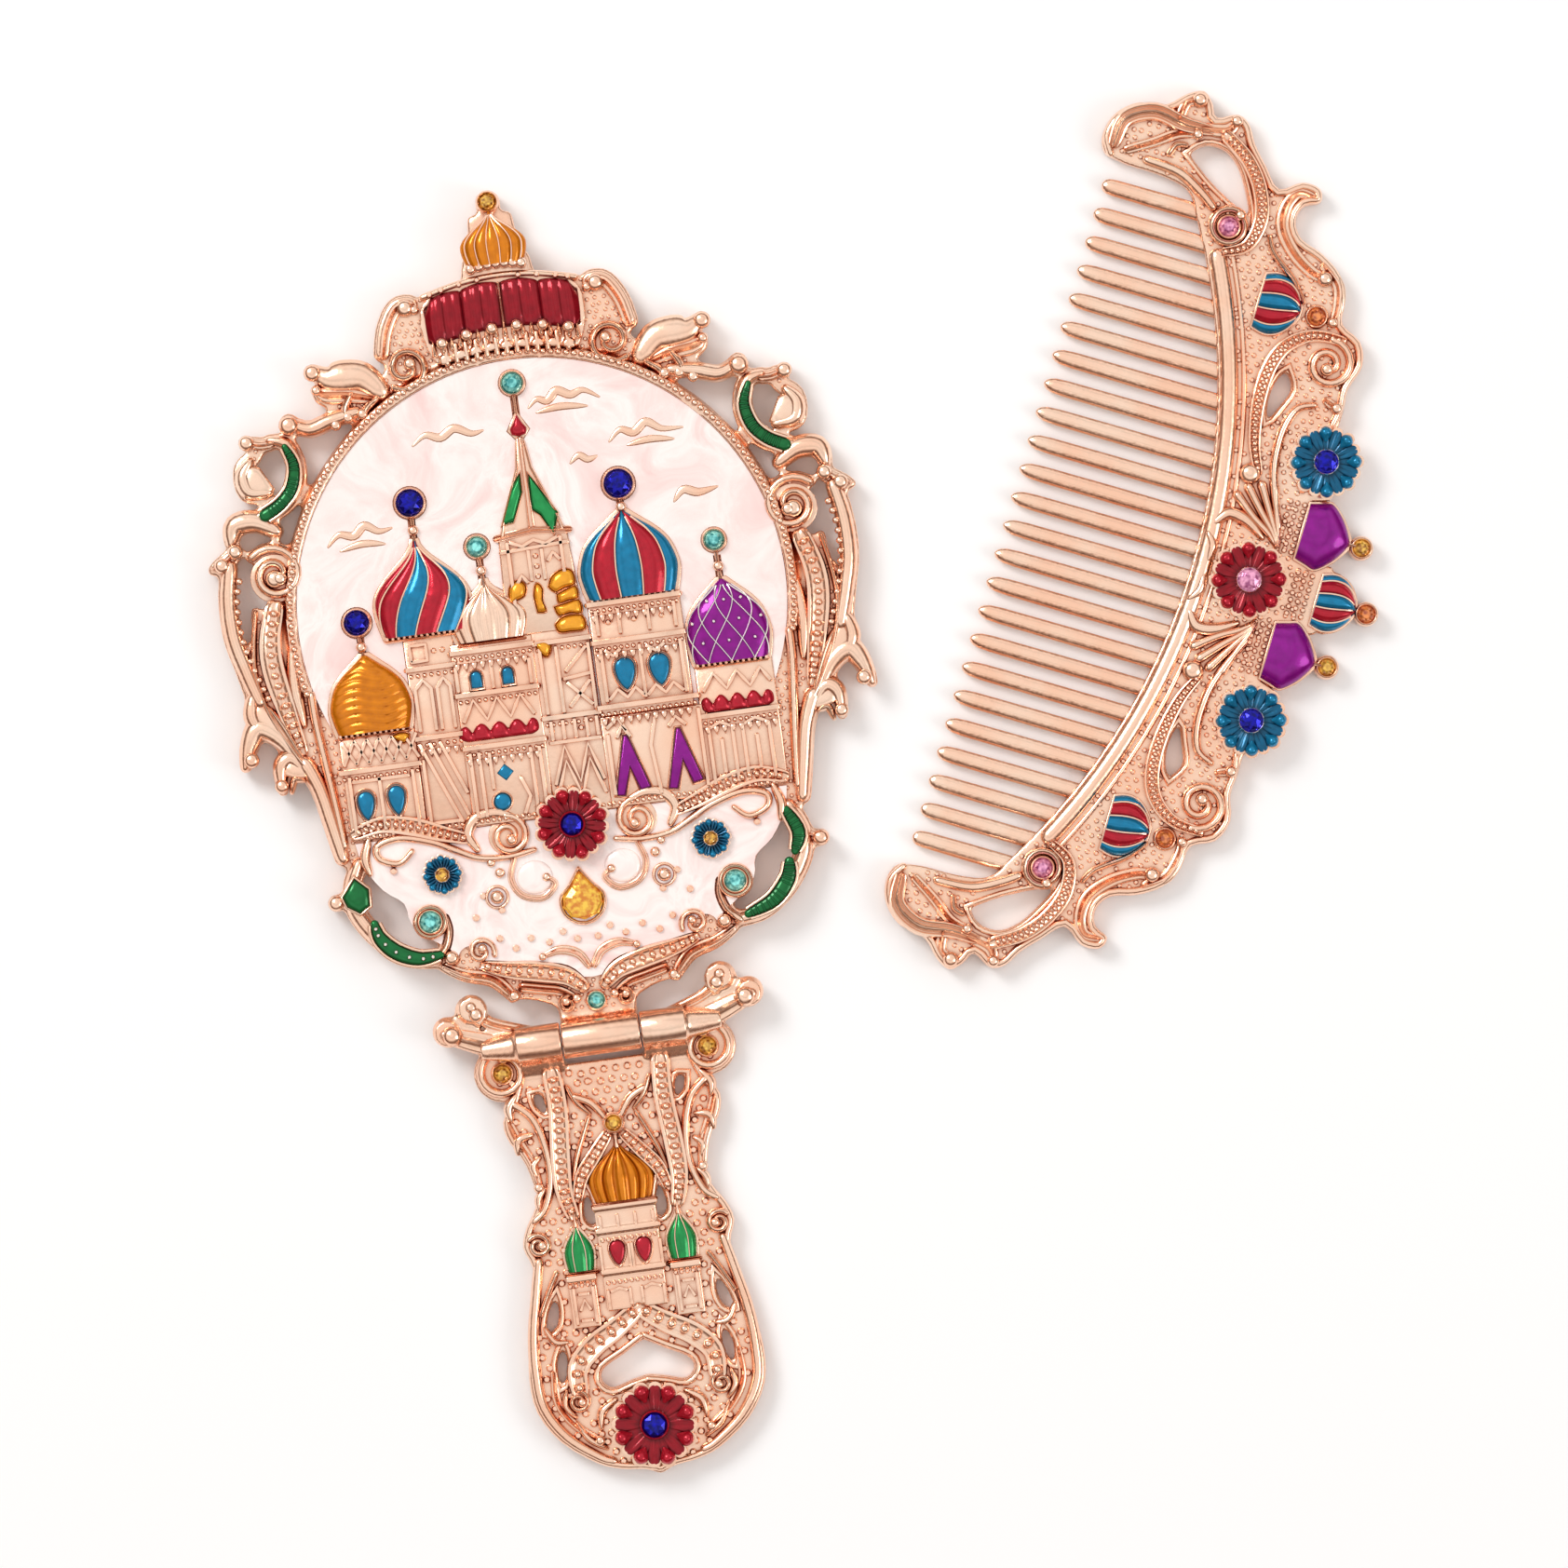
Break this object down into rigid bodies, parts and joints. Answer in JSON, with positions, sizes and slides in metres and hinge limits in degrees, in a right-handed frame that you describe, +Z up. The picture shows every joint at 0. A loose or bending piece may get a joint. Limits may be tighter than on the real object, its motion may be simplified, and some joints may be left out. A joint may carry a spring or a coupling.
{
  "type": "folding hand mirror with comb",
  "caption": "Cast hand mirror with a folding handle and a matching comb, both decorated with onion-domed towers, scrolls, enamel and stones.",
  "frame": {"origin": "centre of the set's footprint on the table, face up", "axes": "+Z up out of the decorated face, +Y from the handle to the crown, +X towards the comb"},
  "size_m": [0.1592, 0.1758, 0.0083],
  "materials": {
    "rose_gold": "polished rose gold plating on die-cast zinc, brightest on the raised scrolls",
    "hinge_pin_steel": "ground steel pin",
    "mirror": "silvered glass",
    "adhesive": "thin black double-sided foam tape",
    "pearl_enamel": "glossy soft enamel with a mother-of-pearl swirl",
    "red_enamel": "glossy translucent enamel",
    "blue_enamel": "glossy translucent enamel",
    "green_enamel": "glossy translucent enamel",
    "purple_enamel": "glossy translucent enamel",
    "amber_enamel": "glossy translucent enamel",
    "sapphire_stone": "faceted glass stone, deep blue",
    "aqua_stone": "faceted glass stone, sea green",
    "topaz_stone": "faceted glass stone, golden",
    "amber_stone": "pear-cut glass stone, amber",
    "pink_stone": "faceted glass stone, rose",
    "orange_stone": "faceted glass stone, orange"
  },
  "bodies": {
    "head": {"head_frame": "rose_gold", "rim_scrollwork": "rose_gold", "basin_scrollwork": "rose_gold", "crown": "rose_gold", "crown_enamel": "red_enamel", "finial_dome": "amber_enamel", "finial_stone": "topaz_stone", "mirror_glass": "mirror", "glass_adhesive": "adhesive", "sky_enamel": "pearl_enamel", "basin_enamel": "pearl_enamel", "castle_walls": "rose_gold", "cloud_wires": "rose_gold", "amber_dome": "amber_enamel", "striped_dome_left": "blue_enamel", "striped_dome_right": "blue_enamel", "purple_dome": "purple_enamel", "roof_enamel": "green_enamel", "window_enamel": "blue_enamel", "awning_enamel": "red_enamel", "arch_enamel": "purple_enamel", "lattice_enamel": "amber_enamel", "spire_drop": "red_enamel", "sapphire_stones": "sapphire_stone", "aqua_stones": "aqua_stone", "head_flower": "red_enamel", "head_flower_stone": "sapphire_stone", "small_flowers": "blue_enamel", "small_flower_stones": "topaz_stone", "pear_stone": "amber_stone", "rim_enamel": "green_enamel"},
    "handle": {"handle_frame": "rose_gold", "handle_scrollwork": "rose_gold", "hinge_pin": "hinge_pin_steel", "handle_towers": "rose_gold", "handle_dome": "amber_enamel", "handle_side_domes": "green_enamel", "handle_window_enamel": "red_enamel", "handle_flower": "red_enamel", "handle_flower_stone": "sapphire_stone", "handle_amber_stones": "topaz_stone"},
    "comb": {"comb_frame": "rose_gold", "comb_teeth": "rose_gold", "comb_root_rib": "rose_gold", "comb_scrollwork": "rose_gold", "comb_red_flower": "red_enamel", "comb_blue_flowers": "blue_enamel", "comb_flower_stones": "sapphire_stone", "comb_purple_domes": "purple_enamel", "comb_striped_domes": "blue_enamel", "comb_pink_stones": "pink_stone", "comb_orange_stones": "orange_stone", "comb_yellow_stones": "topaz_stone"}
  },
  "joints": [
    {"name": "handle_fold", "type": "hinge", "parent": "head", "child": "handle", "pos_m": [-0.03523, -0.02788, 0.0048], "axis": [-1, 0, 0], "range_deg": [0, 165]},
    {"name": "comb_lift", "type": "slide", "parent": "head", "child": "comb", "axis": [0, 0, 1], "range_m": [0, 0.1]}
  ]
}
